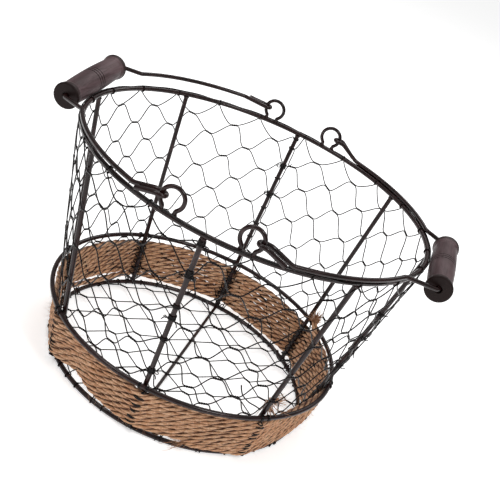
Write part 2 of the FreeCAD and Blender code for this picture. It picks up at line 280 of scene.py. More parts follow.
class Nodes:
    """Short calls for a material's node tree."""

    def __init__(self, name):
        self.material = bpy.data.materials.new(name)
        self.material.use_nodes = True
        self.tree = self.material.node_tree
        self.shader = self.tree.nodes["Principled BSDF"]
        self.source = self.tree.nodes.new("ShaderNodeTexCoord").outputs["Object"]

    def link(self, a, b):
        self.tree.links.new(a, b)

    def stretched(self, scale, source=None):
        """Object coordinates, or the source given, scaled along each axis."""
        node = self.tree.nodes.new("ShaderNodeMapping")
        node.inputs["Scale"].default_value = scale
        self.link(source or self.source, node.inputs["Vector"])
        return node.outputs["Vector"]

    def uv(self, layer):
        """The two coordinates of a UV layer, each as a number."""
        node = self.tree.nodes.new("ShaderNodeUVMap")
        node.uv_map = layer
        split = self.tree.nodes.new("ShaderNodeSeparateXYZ")
        self.link(node.outputs["UV"], split.inputs[0])
        return split.outputs["X"], split.outputs["Y"]

    def along(self, scale):
        """Scaled coordinates along and round a bar, running askew as the fibres of a strand do."""
        length, around = self.uv("along")
        askew = self.maths("MULTIPLY_ADD", length, FIBRE_TURNS, around)
        turn = self.maths("MULTIPLY", askew, FULL_TURN)
        join = self.tree.nodes.new("ShaderNodeCombineXYZ")
        self.link(length, join.inputs["X"])
        self.link(self.maths("COSINE", turn), join.inputs["Y"])
        self.link(self.maths("SINE", turn), join.inputs["Z"])
        return self.stretched(scale, join.outputs[0])

    def noise(self, vector, scale, detail=3.0, roughness=0.55):
        node = self.tree.nodes.new("ShaderNodeTexNoise")
        node.inputs["Scale"].default_value = scale
        node.inputs["Detail"].default_value = detail
        node.inputs["Roughness"].default_value = roughness
        self.link(vector, node.inputs["Vector"])
        return node.outputs["Fac"]

    def maths(self, operation, *values):
        node = self.tree.nodes.new("ShaderNodeMath")
        node.operation = operation
        for socket, value in zip(node.inputs, values):
            if isinstance(value, (int, float)):
                socket.default_value = value
            else:
                self.link(value, socket)
        return node.outputs[0]

    def vectors(self, operation, a, b):
        node = self.tree.nodes.new("ShaderNodeVectorMath")
        node.operation = operation
        self.link(a, node.inputs[0])
        node.inputs[1].default_value = b
        return node

    def ramp(self, factor, *stops):
        """Colour or grey from a factor, by (place, colour) stops."""
        node = self.tree.nodes.new("ShaderNodeValToRGB")
        elements = node.color_ramp.elements
        while len(elements) < len(stops):
            elements.new(0.5)
        for element, (place, colour) in zip(elements, stops):
            element.position = place
            element.color = colour if isinstance(colour, tuple) else (colour, colour, colour, 1)
        self.link(factor, node.inputs["Fac"])
        return node.outputs["Color"]

    def mix(self, factor, a, b):
        node = self.tree.nodes.new("ShaderNodeMix")
        node.data_type = "RGBA"
        for socket, value in ((node.inputs[0], factor), (node.inputs[6], a), (node.inputs[7], b)):
            if isinstance(value, (int, float, tuple)):
                socket.default_value = value
            else:
                self.link(value, socket)
        return node.outputs[2]

    def bump(self, *layers):
        """Stacked bumps, each (height, distance, strength)."""
        normal = None
        for height, distance, strength in layers:
            node = self.tree.nodes.new("ShaderNodeBump")
            node.inputs["Distance"].default_value = distance
            node.inputs["Strength"].default_value = strength
            self.link(height, node.inputs["Height"])
            if normal:
                self.link(normal, node.inputs["Normal"])
            normal = node.outputs["Normal"]
        self.link(normal, self.shader.inputs["Normal"])

    def finish(self, colour, roughness, specular):
        self.link(colour, self.shader.inputs["Base Color"])
        if isinstance(roughness, (int, float)):
            self.shader.inputs["Roughness"].default_value = roughness
        else:
            self.link(roughness, self.shader.inputs["Roughness"])
        self.shader.inputs["Specular IOR Level"].default_value = specular
        return self.material


def coated_wire(name, dark, light, worn, specular):
    """Painted steel wire: brown-black paint in uneven coats, scuffed to a paler tone in places."""
    n = Nodes(name)
    cloud = n.noise(n.source, 60.0, 4.0)
    grain = n.noise(n.source, 900.0, 2.0)
    scuffs = n.ramp(n.noise(n.stretched((1, 1, 0.35)), 240.0, 5.0, 0.7), (0.56, 0.0), (0.7, 1.0))
    colour = n.ramp(cloud, (0.32, dark), (0.68, light))
    colour = n.mix(n.maths("MULTIPLY", scuffs, 0.4), colour, worn)
    rough = n.maths("MULTIPLY_ADD", cloud, 0.16, 0.14)
    n.bump((cloud, 0.25 * MM, 0.3), (grain, 0.08 * MM, 0.35))
    return n.finish(colour, rough, specular)


def stained_wood(name, joint):
    """Turned hardwood with a dark brown-grey stain, darker on end grain and in grooves; painted
    shade on its lips.
    """
    n = Nodes(name)
    from_middle = n.vectors("SUBTRACT", n.source, joint["pos_m"]).outputs["Vector"]
    along = n.vectors("DOT_PRODUCT", from_middle, joint["axis"]).outputs["Value"]
    grain = n.noise(n.stretched((1, 0.06, 1)), 700.0, 5.0, 0.65)
    streaks = n.noise(n.stretched((1, 0.12, 1)), 160.0, 3.0)
    lathe = n.noise(n.stretched((0.05, 1, 0.05)), 900.0, 2.0)
    patches = n.noise(n.source, 45.0, 3.0)
    colour = n.ramp(streaks, (0.3, srgb(64, 46, 48)), (0.7, srgb(104, 84, 87)))
    colour = n.mix(n.ramp(grain, (0.42, 0.0), (0.62, 0.7)), colour, srgb(60, 43, 44))
    colour = n.mix(n.ramp(patches, (0.5, 0.0), (0.72, 0.4)), colour, srgb(116, 96, 98))
    outward = n.maths("ABSOLUTE", along)
    share = n.maths("DIVIDE", outward, GRIP_HALF)
    end = n.ramp(share, (0.945, 0.0), (0.99, 0.92))
    # painted shade: a darker ring on the lip near each end
    lip_shade = n.ramp(share, (0.87, 0.0), (0.905, 0.8))
    colour = n.mix(lip_shade, colour, srgb(36, 20, 19))
    colour = n.mix(end, colour, srgb(22, 6, 4))
    half_pitch = GROOVE_PITCH / 2
    from_groove = n.maths("DIVIDE", n.maths("PINGPONG", along, half_pitch), half_pitch)
    scribed = n.maths("MULTIPLY", n.ramp(outward, (GROOVES_REACH, 1.0), (GROOVES_FADE, 0.0)),
                      n.ramp(from_groove, (0.2, 1.0), (0.46, 0.0)))
    colour = n.mix(n.maths("MULTIPLY", scribed, 0.9), colour, srgb(24, 15, 14))
    n.bump((grain, 0.12 * MM, 0.35), (lathe, 0.1 * MM, 0.3))
    return n.finish(colour, n.maths("MULTIPLY_ADD", patches, 0.2, 0.36), specular=0.2)


def jute_fibre(name):
    """Twisted jute: pale fibre, painted red-brown shade in the grooves, fibres askew along each
    strand.
    """
    n = Nodes(name)
    fibres = n.noise(n.along((160.0, 2.2, 2.2)), 2.2, 6.0, 0.7)
    hairs = n.noise(n.along((420.0, 9.0, 9.0)), 1.6, 4.0, 0.7)
    patches = n.noise(n.source, 55.0, 3.0)
    blotches = n.noise(n.source, 330.0, 3.0, 0.6)
    colour = n.ramp(fibres, (0.3, srgb(142, 90, 58)), (0.42, srgb(224, 168, 127)),
                    (0.6, srgb(250, 210, 173)))
    colour = n.mix(n.ramp(hairs, (0.45, 0.0), (0.7, 0.5)), colour, srgb(252, 216, 178))
    colour = n.mix(n.ramp(patches, (0.42, 0.0), (0.66, 0.4)), colour, srgb(212, 144, 96))
    colour = n.mix(n.ramp(blotches, (0.44, 0.0), (0.62, 0.6)), colour, srgb(174, 110, 70))
    core_distance, facing_courses = n.uv("depth")
    # painted shade: red-brown and darker nearer the cord's core, in the grooves between strands
    groove_shade = n.maths("MULTIPLY_ADD", n.maths("SUBTRACT", blotches, 0.5), 0.35, core_distance)
    colour = n.mix(n.ramp(groove_shade, (0.7, 0.95), (0.87, 0.0)), colour, srgb(66, 26, 10))
    # painted shade: darker where a strand faces the courses above and below
    course_shade = n.maths("MULTIPLY_ADD", n.maths("SUBTRACT", blotches, 0.5), 0.5, facing_courses)
    colour = n.mix(n.ramp(course_shade, (0.74, 0.0), (1.0, 0.75)), colour, srgb(84, 40, 18))
    n.bump((fibres, 0.8 * MM, 0.9), (hairs, 0.4 * MM, 0.8))
    n.shader.inputs["Sheen Weight"].default_value = 0.15
    n.shader.inputs["Sheen Roughness"].default_value = 0.5
    return n.finish(colour, 0.9, specular=0.2)


def loose_fibre(name):
    """Single jute hairs, a little darker than the cord's sunlit tops."""
    n = Nodes(name)
    colour = n.ramp(n.noise(n.source, 400.0, 2.0),
                    (0.35, srgb(140, 92, 62)), (0.65, srgb(206, 164, 132)))
    n.bump((n.noise(n.source, 3000.0), 0.03 * MM, 0.4))
    return n.finish(colour, 0.85, specular=0.2)


FRAME_PAINT = coated_wire("frame_paint", srgb(20, 5, 5), srgb(42, 22, 22), srgb(96, 74, 74), 0.36)
BAIL_PAINT = coated_wire("bail_paint", srgb(18, 5, 5), srgb(40, 20, 20), srgb(94, 70, 70), 0.36)
NETTING_PAINT = coated_wire("netting_paint", srgb(8, 3, 3), srgb(20, 12, 12), srgb(60, 48, 48),
                            0.24)
TIE_PAINT = coated_wire("tie_paint", srgb(8, 6, 7), srgb(22, 17, 18), srgb(60, 54, 55), 0.24)
JUTE = jute_fibre("jute")
JUTE_HAIR = loose_fibre("jute_hair")


def paint_cad_nodes():
    """Gives every CAD node that stays in view its finished material."""
    paints = {"frame_wire": FRAME_PAINT, "bail_wire": BAIL_PAINT, "netting_wire": NETTING_PAINT,
              "tie_wire": TIE_PAINT, "jute": JUTE}
    joints = {joint["name"]: joint for joint in frame["record"]["behaviour"]["joints"]}
    woods = {"grip_left": stained_wood("grip_wood_left", joints["left_grip_spin"]),
             "grip_right": stained_wood("grip_wood_right", joints["right_grip_spin"])}
    for entry in frame["record"]["subparts"]:
        node = entry["node"]
        paint = woods[node] if node in woods else paints[entry["material_slot"]]
        for material_slot in frame["nodes"][node].material_slots:
            material_slot.material = paint


# ---- netting ------------------------------------------------------------------------------


def flat_radius(angle, z, lift):
    """A sheet pulled straight from post to post, lift outside the line of their centres."""
    from_middle = np.mod(angle, BAY) - BAY / 2
    return (post_radius(z) * math.cos(BAY / 2) + lift) / np.cos(from_middle)


def wall_point(angle, z, lift):
    """A point of the netting wall: round at the rim, pressed into the rope's inside lower down."""
    share = np.clip((z - NETTING_BEND_Z) / (RIM_Z - NETTING_BEND_Z), 0, 1)
    pressed = NETTING_PRESS + ROPE_BOW * np.sin(math.pi * np.mod(angle, BAY) / BAY)
    flat = flat_radius(angle, np.minimum(z, NETTING_BEND_Z), lift + pressed)
    radius = flat * (1 - share) + (RIM_R + lift) * share
    return polar(radius, angle, z)


def ring_wrap(ring_r, ring_z, angle, start, turns, drift=1.3 * MM):
    """Netting wire wound round a ring from start, which is 0 outside and 90 degrees on top."""
    reach = WIRE + NETTING_WIRE
    around = np.linspace(start, start + 360 * turns, int(14 * abs(turns)) + 2)
    psi = np.radians(around)
    drifted = angle + np.linspace(-0.5, 0.5, len(psi)) * drift * abs(turns) / ring_r
    z = np.maximum(ring_z + reach * np.sin(psi), NETTING_WIRE)
    return polar(ring_r + reach * np.cos(psi), drifted, z)


def post_wrap(post_angle, z, start, turns, reach, rise=1.1 * MM):
    """Wire wound round a post: start is 0 on its outside and 90 degrees on its +angle side."""
    psi = np.radians(np.linspace(start, start + 360 * turns, int(14 * abs(turns)) + 2))
    heights = z + np.linspace(0, rise * abs(turns), len(psi))
    centre = polar(post_radius(heights), np.full(len(psi), post_angle), heights)
    outward = np.array([math.cos(post_angle), math.sin(post_angle), 0.0])
    sideways = np.array([-math.sin(post_angle), math.cos(post_angle), 0.0])
    return centre + reach * (np.cos(psi)[:, None] * outward + np.sin(psi)[:, None] * sideways)


def twist_turns(start):
    """Places along a twist, from its middle, and how far one of its wires has turned at each."""
    s = np.linspace(-TWIST_HALF, TWIST_HALF, 8 * TWIST_TURNS + 1)
    return s, FULL_TURN * TWIST_TURNS * (s / TWIST_HALF + 1) / 2 + start


def twist_path(twist, start):
    """One of the two wires wound together along a twist: rows of angle, height and lift."""
    angle, z, tilt, lift = twist
    s, psi = twist_turns(start)
    height = z + s * math.sin(tilt) + NETTING_WIRE * np.sin(psi)
    turned = angle + s * math.cos(tilt) / post_radius(z)
    return np.stack([turned, height, lift + NETTING_WIRE * np.cos(psi)], axis=-1)


def span_between(a, b, tilt_a, tilt_b):
    """A single wire bent from one twist's end to the next twist's start."""
    radius = post_radius((a[1] + b[1]) / 2)
    reach = 0.46 * math.hypot((b[0] - a[0]) * radius, b[1] - a[1])
    out_a = np.array([math.cos(tilt_a) * reach / radius, math.sin(tilt_a) * reach, 0])
    out_b = np.array([math.cos(tilt_b) * reach / radius, math.sin(tilt_b) * reach, 0])
    t = np.linspace(0, 1, 8)[1:-1, None]
    return ((2 * t ** 3 - 3 * t ** 2 + 1) * a + (t ** 3 - 2 * t ** 2 + t) * out_a
            + (3 * t ** 2 - 2 * t ** 3) * b + (t ** 3 - t ** 2) * out_b)


def seam_height(row):
    """Where two wires of the netting meet on a seam post, in place of a row's next twist."""
    return float(np.clip(RIM_Z - row * ROW_PITCH, FOOT_Z + 5 * MM, RIM_Z - 5 * MM))


def netting_rows(first_seam, phase, rng):
    """Rows of twists, rim first, each twist as its angle, height, tilt and lift."""
    pitch = FULL_TURN / NETTING_COLUMNS
    last_seam = first_seam + math.pi
    rows = []
    for row in range(NETTING_ROWS + 2):
        z = RIM_Z - row * ROW_PITCH
        offset = phase + (0.0 if row % 2 else pitch / 2)
        angle = offset + math.ceil((first_seam + SEAM_MARGIN - offset) / pitch) * pitch
        twists = []
        while angle < last_seam - SEAM_MARGIN:
            turned = angle + rng.normal(0, 1.1 * MM) / post_radius(z)
            height = z + rng.normal(0, 1.0 * MM)
            tilt = rng.normal(0, 0.13)
            twists.append((turned, height, tilt, NETTING_LIFT + rng.uniform(0, 0.8 * MM)))
            angle += pitch
        rows.append(twists)
    return rows


def rim_turn(angle):
    """A wire's turn round the rim: where it arrives and leaves, its path, and both tilts."""
    half_gap = 0.5 * MM / RIM_R
    arrive = np.array([angle - half_gap, RIM_Z - RIM_DROP, 2.0 * MM])
    leave = np.array([angle + half_gap, RIM_Z - RIM_DROP, 2.0 * MM])
    return arrive, leave, ring_wrap(RIM_R, RIM_Z, angle, -35, 1.0), 1.2, -1.2


def foot_turn(angle):
    """The same round the bottom ring."""
    half_gap = 0.5 * MM / FOOT_R
    level = FOOT_Z + 3.0 * MM
    arrive = np.array([angle - half_gap, level, NETTING_LIFT])
    leave = np.array([angle + half_gap, level, NETTING_LIFT])
    return arrive, leave, ring_wrap(FOOT_R, FOOT_Z, angle, 130, -1.0), -1.2, 1.2


def twist_turn(twist, start):
    """The same through a twist with the neighbouring wire."""
    local = twist_path(twist, start)
    path = wall_point(local[:, 0], local[:, 1], local[:, 2])
    return local[0], local[-1], path, twist[2], twist[2]


def netting_wire(rows, wire, first_seam, rng):
    """One wire of the wall netting, wound round both seam posts at its ends."""
    last_seam = first_seam + math.pi
    stops = [(twist, wire) for twist in rows[wire]]
    stops += [(twist, wire + 1) for twist in rows[wire + 1]]
    stops.sort(key=lambda stop: stop[0][0])
    rows_here = 2 * wire + 1
    first_z = seam_height(rows_here - stops[0][1])
    last_z = seam_height(rows_here - stops[-1][1])
    start = post_wrap(first_seam, first_z - 1.4 * MM, 300 + rng.uniform(0, 160), -1.3, POST_WRAP_R)
    pieces = [start[::-1]]
    previous = np.array([first_seam + SEAM_REACH, first_z, NETTING_LIFT])
    previous_tilt = 0.0
    for twist, row in stops:
        if row == 0:
            turn = rim_turn(twist[0])
        elif row == NETTING_ROWS + 1:
            turn = foot_turn(twist[0])
        else:
            turn = twist_turn(twist, -math.pi / 2 if row == wire else math.pi / 2)
        arrive, leave, path, tilt_in, tilt_out = turn
        span = span_between(previous, arrive, previous_tilt, tilt_in)
        pieces.append(wall_point(span[:, 0], span[:, 1], span[:, 2]))
        pieces.append(path)
        previous = leave
        previous_tilt = tilt_out
    end = np.array([last_seam - SEAM_REACH, last_z, NETTING_LIFT])
    span = span_between(previous, end, previous_tilt, 0.0)
    pieces.append(wall_point(span[:, 0], span[:, 1], span[:, 2]))
    pieces.append(post_wrap(last_seam, last_z, rng.uniform(-80, -20), 1.3, POST_WRAP_R))
    return np.concatenate(pieces)


def netting_half(name, node, first_seam, phase, seed):
    """Half of the wall netting, from one seam post anticlockwise to the other."""
    rng = np.random.default_rng(seed)
    tubes = Tubes()
    rows = netting_rows(first_seam, phase, rng)
    for wire in range(NETTING_ROWS + 1):
        tubes.add(netting_wire(rows, wire, first_seam, rng), NETTING_WIRE, 5)
    selvage = np.linspace(first_seam, first_seam + math.pi, 220)
    wander = np.radians(35 + 14 * np.sin(selvage * 9 + seed) + 8 * np.sin(selvage * 31))
    reach = WIRE + NETTING_WIRE * 1.1
    tubes.add(polar(RIM_R + reach * np.cos(wander), selvage, RIM_Z + reach * np.sin(wander)),
              NETTING_WIRE * 1.25, 5)
    return tubes.make(name, NETTING_PAINT, "basket", (node,))


def floor_wire(twists, wire, level):
    """One wire of the floor netting, right across and past the bottom ring."""
    stops = [(twists[wire, column], wire) for column in FLOOR_COLUMNS]
    stops += [(twists[wire + 1, column], wire + 1) for column in FLOOR_COLUMNS]
    stops.sort(key=lambda stop: stop[0][0])
    pieces = []
    for (x, y, tilt), row in stops:
        s, psi = twist_turns(math.pi / 2 if row == wire else -math.pi / 2)
        pieces.append(np.stack([x + s * math.cos(tilt),
                                y + s * math.sin(tilt) + NETTING_WIRE * np.sin(psi),
                                level + NETTING_WIRE * np.cos(psi)], axis=-1))
    return resampled(np.concatenate(pieces), FLOOR_POINT_STEP)


def floor_netting():
    """Hexagonal netting across the foot, its cut ends turned over the bottom ring."""
    rng = np.random.default_rng(31)
    tubes = Tubes()
    low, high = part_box("floor_netting")
    level = (low[2] + high[2]) / 2 + 0.3 * MM
    count = int(FOOT_R // ROW_PITCH) + 1
    twists = {}
    for row in range(-count, count + 1):
        for column in FLOOR_COLUMNS:
            x = (column + (0.5 if row % 2 else 0.0)) * FLOOR_COLUMN_PITCH + rng.normal(0, MM)
            twists[row, column] = (x, row * ROW_PITCH + rng.normal(0, MM), rng.normal(0, 0.12))
    for wire in range(-count, count):
        path = floor_wire(twists, wire, level)
        path = path[np.hypot(path[:, 0], path[:, 1]) < FOOT_R - 0.5 * MM]
        if len(path) * FLOOR_POINT_STEP < SHORTEST_FLOOR_WIRE:
            continue
        tails = []
        for end in (path[0], path[-1]):
            angle = math.atan2(end[1], end[0])
            tails.append(ring_wrap(FOOT_R, FOOT_Z, angle, 115, -0.8, drift=0.4 * MM))
        tubes.add(np.concatenate([tails[0][::-1], path, tails[1]]), NETTING_WIRE, 5)
    return tubes.make("floor_netting_wires", NETTING_PAINT, "basket",
                      ("floor_netting",))


# ---- rope ---------------------------------------------------------------------------------


def rope_line():
    """Centreline of the winding: a bend round every post and a straight run across every bay."""
    first_z = ROPE_BOX[0][2] + ROPE_R
    last_z = ROPE_BOX[1][2] - ROPE_R
    rise = (last_z - first_z) / (ROPE_CORNERS + 1)
    bend = np.linspace(-BAY / 2, BAY / 2, 7)
    points = []
    for i in range(1, ROPE_CORNERS + 1):
        z = first_z + rise * (i - 0.5)
        angle = (ROPE_FIRST_CORNER + i) * BAY
        centre = polar(post_radius(z), np.array([angle]), z)[0]
        for turn in bend:
            offset = np.array([math.cos(angle + turn), math.sin(angle + turn), 0]) * ROPE_OFFSET
            climb = np.array([0, 0, rise * turn / BAY * ROPE_BEND_RISE])
            points.append(centre + offset + climb)
    first_angle = (ROPE_FIRST_CORNER + 0.5) * BAY
    last_angle = (ROPE_FIRST_CORNER + ROPE_CORNERS + 0.5) * BAY
    start = polar(flat_radius(first_angle, first_z, ROPE_OFFSET), np.array([first_angle]), first_z)
    end = polar(flat_radius(last_angle, last_z, ROPE_OFFSET), np.array([last_angle]), last_z)
    return resampled(np.concatenate([start, points, end]), ROPE_STEP)


def rope_settled(path, rng):
    """The same winding as it lies by hand.

    Courses wander a little and bulge between the posts. The first hangs slack in one bay, the
    lower ones have ridden up in another, and towards the back they lie higher.
    """
    angle = np.unwrap(np.arctan2(path[:, 1], path[:, 0]))
    lap = np.floor((angle - angle[0]) / FULL_TURN)
    within = np.mod(angle, FULL_TURN)
    s = np.arange(len(path)) * ROPE_STEP
    wander_z = np.zeros(len(path))
    wander_r = np.zeros(len(path))
    for wavelength in (31 * MM, 57 * MM, 113 * MM):
        wander_z += 0.11 * MM * np.sin(FULL_TURN * s / wavelength + rng.uniform(0, FULL_TURN))
        wander_r += 0.16 * MM * np.sin(FULL_TURN * s / wavelength + rng.uniform(0, FULL_TURN))

    def swelling(start, bays):
        """Rises smoothly from 0 to 1 and back over a stretch that starts at a post."""
        return np.sin(math.pi * np.clip((within / BAY - start) / bays, 0, 1)) ** 2

    slack = swelling(SLACK_BAY, 1) * (lap == 0)
    crowded = swelling(SLACK_BAY, 1) * (lap > 0) * np.clip(1 - lap / 8, 0, 1)
    ridden = swelling(RIDDEN_BAY, 0.6) * np.clip(1 - lap / 6, 0, 1)
    height = np.clip((path[:, 2] - path[0][2]) / (path[-1][2] - path[0][2]), 0, 1)
    bowed = np.sin(math.pi * np.mod(within, BAY) / BAY)
    at_back = np.clip(np.sin(within) * 3, 0, 1)
    path = path.copy()
    path[:, 2] += wander_z - SLACK_SAG * slack + 0.5 * MM * crowded + RIDDEN_RISE * ridden
    path[:, 2] += (2.2 + 1.6 * at_back) * MM * bowed * height - 0.4 * MM * bowed * (1 - height)
    path[:, 2] += 1.1 * MM * at_back * height
    radial = wander_r - 1.2 * MM * slack - 4.2 * MM * ridden + ROPE_BOW * bowed
    path[:, :2] += unit(path[:, :2]) * radial[:, None]
    return smoothed(path, 2)


def rope_tail(path):
    """Carries the rope's end on from mid-bay, inside the middle ring, and stands it up there."""
    end_angle = math.atan2(path[-1][1], path[-1][0])
    route = [path[-1]]
    for turn, outside, rise in ((5.0, -5.6, -2.4), (10.0, -5.4, -2.1), (14.0, -5.2, -0.6),
                                (16.3, -5.0, 2.2), (17.4, -4.6, 6.0)):
        angle = end_angle + math.radians(turn)
        route.append(polar(MIDDLE_R + outside * MM, np.array([angle]), MIDDLE_Z + rise * MM)[0])
    return np.concatenate([path, resampled(curve_through(route), ROPE_STEP)[1:]])


def rope_frame(path):
    """Directions along, level across and upward across the rope at each of its points."""
    along = unit(np.gradient(path, axis=0))
    side = unit(np.cross(along, np.array([0.0, 0.0, 1.0])))
    return along, side, np.cross(side, along)


def jute_cord(path):
    """Three strands laid left-handed round the winding's centreline; its splayed ends are separate
    pieces.
    """
    tubes = Tubes()
    _, side, up = rope_frame(path)
    s = np.arange(len(path)) * np.linalg.norm(path[1] - path[0])
    swell = 1 + 0.06 * np.sin(s * 71.0) + 0.05 * np.sin(s * 173.0)
    uneven = 0.5 * np.sin(s * 19.0) + 0.35 * np.sin(s * 47.0)
    for strand in range(STRANDS):
        psi = FULL_TURN * s / ROPE_LAY + uneven + FULL_TURN * strand / STRANDS
        direction = np.cos(psi)[:, None] * side + np.sin(psi)[:, None] * up
        centre = path + STRAND_HELIX_R * direction
        tubes.add(centre, STRAND_R * swell, 8, normals=direction, cord=path)
    return tubes.make("jute_cord", JUTE, "basket", ("jute_rope",))


def jute_fuzz(path, rng):
    """Loose hairs that stand out of the cord, mostly on its outside."""
    tubes = Tubes()
    along, side, up = rope_frame(path)
    for _ in range(FUZZ_HAIRS):
        i = rng.integers(2, len(path) - 2)
        around = rng.uniform(-math.pi, math.pi)
        out = math.cos(around) * side[i] + math.sin(around) * up[i]
        length = rng.uniform(2.5, 8.0) * MM
        lean = rng.uniform(0.12, 0.75)
        direction = along[i] * rng.choice([-1.0, 1.0]) * (1 - lean) + out * lean
        curl = rng.normal(0, 0.35, 3) * length
        start = path[i] + out * 2.15 * MM
        t = np.linspace(0, 1, 5)[:, None]
        points = start + unit(direction) * length * t + curl * t ** 2
        points[:, 2] = np.maximum(points[:, 2], 0.2 * MM)
        tubes.add(points, np.linspace(0.085, 0.04, 5) * MM, 3)
    return tubes.make("jute_fuzz", JUTE_HAIR, "basket")


def frayed_end(name, start, direction, rng, count, length, spread, hair):
    """A cut rope end opened out into its fibres."""
    tubes = Tubes()
    direction = unit(np.asarray(direction, float))
    for _ in range(count):
        root = start + rng.normal(0, 0.9 * MM, 3)
        way = unit(direction + rng.normal(0, spread, 3))
        reach = length * rng.uniform(0.45, 1.1)
        curl = rng.normal(0, 0.25, 3) * reach
        t = np.linspace(0, 1, 7)[:, None]
        points = root + way * reach * t + curl * t ** 2 - np.array([0, 0, 0.12]) * reach * t ** 2
        points[:, 2] = np.maximum(points[:, 2], 0.3 * MM)
        tubes.add(points, np.linspace(1.0, 0.35, 7) * hair, 4)
    return tubes.make(name, JUTE_HAIR, "basket")


# ---- lashings, ties and welds -------------------------------------------------------------


def post_axes(post):
    """Level directions away from the basket's axis and round it, at a post."""
    angle = post * BAY
    return (np.array([math.cos(angle), math.sin(angle), 0.0]),
            np.array([-math.sin(angle), math.cos(angle), 0.0]))


def beside_post(post, sideways, outside, z):
    """Points placed beside a post: sideways and outside are measured from its centreline."""
    outward, across = post_axes(post)
    sideways, outside, z = np.broadcast_arrays(sideways, outside, z)
    radius = post_radius(z) + outside
    return (radius[..., None] * outward + np.asarray(sideways)[..., None] * across
            + z[..., None] * np.array([0, 0, 1.0]))


def ring_loop(post, sideways, turns):
    """Lashing wire wound round the middle ring beside a post."""
    psi = np.radians(np.linspace(90, 90 - 360 * turns, int(14 * turns) + 1))
    reach = WIRE + LASHING_R
    drift = np.linspace(-0.5, 0.5, len(psi)) * MM * turns
    ring_outside = MIDDLE_R - post_radius(MIDDLE_Z)
    return beside_post(post, sideways + drift, ring_outside + reach * np.cos(psi),
                       MIDDLE_Z + reach * np.sin(psi))


def foot_loop(post, side):
    """Lashing wire wound round the bottom ring across a post's foot."""
    count = 22
    psi = np.radians(np.linspace(60, -400, count))
    reach = WIRE + LASHING_R
    ring_outside = FOOT_R - post_radius(FOOT_Z)
    return beside_post(post, np.linspace(-2.6, 2.6, count) * MM * side,
                       ring_outside + reach * np.cos(psi),
                       np.maximum(FOOT_Z + reach * np.sin(psi), LASHING_R))


def binding(post, turns, phase, half_width, rng):
    """Lashing wire that spirals down round rope and post together."""
    psi = np.linspace(0, FULL_TURN * turns, int(20 * turns)) + phase
    share = np.linspace(0, 1, len(psi))
    knots = np.linspace(0, 1, 2 * turns + 1)
    jitter = np.interp(share, knots, rng.normal(0, 0.9 * MM, len(knots)))
    top = ROPE_BOX[1][2] - 1.5 * MM
    foot = ROPE_BOX[0][2] + 2.5 * MM
    z = top + (foot - top) * share + jitter + 1.6 * MM * np.sin(psi)
    inner = -WIRE - LASHING_R
    outer = ROPE_OFFSET + ROPE_R + 0.45 * LASHING_R
    middle = (inner + outer) / 2
    return beside_post(post, half_width * np.sin(psi), middle + (outer - middle) * np.cos(psi), z)


def lashing(index):
    """Black wire crossed over the middle ring, bound down over rope and post, and tied off below."""
    rng = np.random.default_rng(100 + index)
    tubes = Tubes()
    side = rng.choice([-1.0, 1.0])
    tail = beside_post(index, side * np.array([3.2, 4.6, 6.5]) * MM,
                       np.array([3.2, 4.4, 4.0]) * MM, np.array([3.5, 5.0, 4.0]) * MM)
    route = np.concatenate([ring_loop(index, -RING_LOOP_SIDE * side, 1.5),
                            ring_loop(index, RING_LOOP_SIDE * side, 1.5),
                            binding(index, 6, 0.0, 5.2 * MM * side, rng),
                            foot_loop(index, side), tail])
    tubes.add(smoothed(resampled(route, LASHING_POINT_STEP), 3), LASHING_R, 6)
    second = binding(index, 5, 2.0, -4.6 * MM * side, rng)
    tubes.add(smoothed(resampled(second, LASHING_POINT_STEP), 3), LASHING_R * 0.9, 6)
    if index == FRAYED_POST:
        stray = beside_post(index, np.array([-2, -6, -11, -15, -17, -18]) * MM,
                            np.array([-2.5, -5, -9, -14, -17, -19]) * MM,
                            MIDDLE_Z + np.array([3.0, 4.5, 5.5, 8.0, 12.0, 15.5]) * MM)
        tubes.add(curve_through(stray), LASHING_R * 1.1, 6)
    return tubes.make("lashing_wire_%d" % (index + 1), TIE_PAINT, "basket",
                      ("rope_lashing_%d" % (index + 1),))


def knot(tubes, post, z, turns, rng):
    """A wire tie: close turns round the post and netting, with an eye and two cut tails."""
    turns += rng.uniform(-0.4, 0.4)
    start = rng.uniform(0, 360)
    coil = post_wrap(post * BAY, z - 0.55 * turns * MM, start, turns, 3.0 * MM, 1.05 * MM)
    coil = smoothed(coil + rng.normal(0, 0.22 * MM, coil.shape), 2)
    tubes.add(resampled(coil, 0.7 * MM), TIE_R, 6)
    side = rng.choice([-1.0, 1.0])
    z_eye = z + rng.uniform(-1.5, 1.5) * MM
    half_width = rng.uniform(1.25, 2.0) * MM
    psi = np.linspace(-2.6, 2.6, 18)
    eye = beside_post(post, side * (4.4 * MM + half_width * np.cos(psi)),
                      1.6 * MM + 1.2 * MM * np.sin(psi / 2), z_eye + half_width * np.sin(psi))
    tubes.add(eye, TIE_R * 0.8, 5)
    for side in (-1, 1):
        z_tail = z + rng.uniform(-1, 1) * MM
        rise = np.array([0, 0.6, 1.8, 3.4]) * MM * rng.choice([-1, 1])
        tail = beside_post(post, side * np.array([2.0, 4.0, 5.5, 6.2]) * MM,
                           np.array([2.8, 3.4, 3.9, 4.8]) * MM, z_tail + rise)
        tubes.add(curve_through(tail, 4), TIE_R * 0.85, 5)


def side_ties():
    """Small wire ties with stray eyes, where the netting is caught to the right-hand post."""
    rng = np.random.default_rng(640)
    tubes = Tubes()
    for share in SIDE_TIES:
        knot(tubes, 0, FOOT_Z + (RIM_Z - FOOT_Z) * share, 2, rng)
    return tubes.make("side_ties", TIE_PAINT, "basket")


def seam_knots(end, post, node):
    """Wire ties that hold a seam of the wall netting to its post."""
    rng = np.random.default_rng(500 + post)
    tubes = Tubes()
    low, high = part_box(node)
    bottom = low[2] + SEAM_KNOT_INSET
    height = high[2] - SEAM_KNOT_INSET - bottom
    for share in SEAM_KNOTS[end]:
        knot(tubes, post, bottom + height * share, 4, rng)
    return tubes.make("seam_knots_" + end, TIE_PAINT, "basket", (node,))


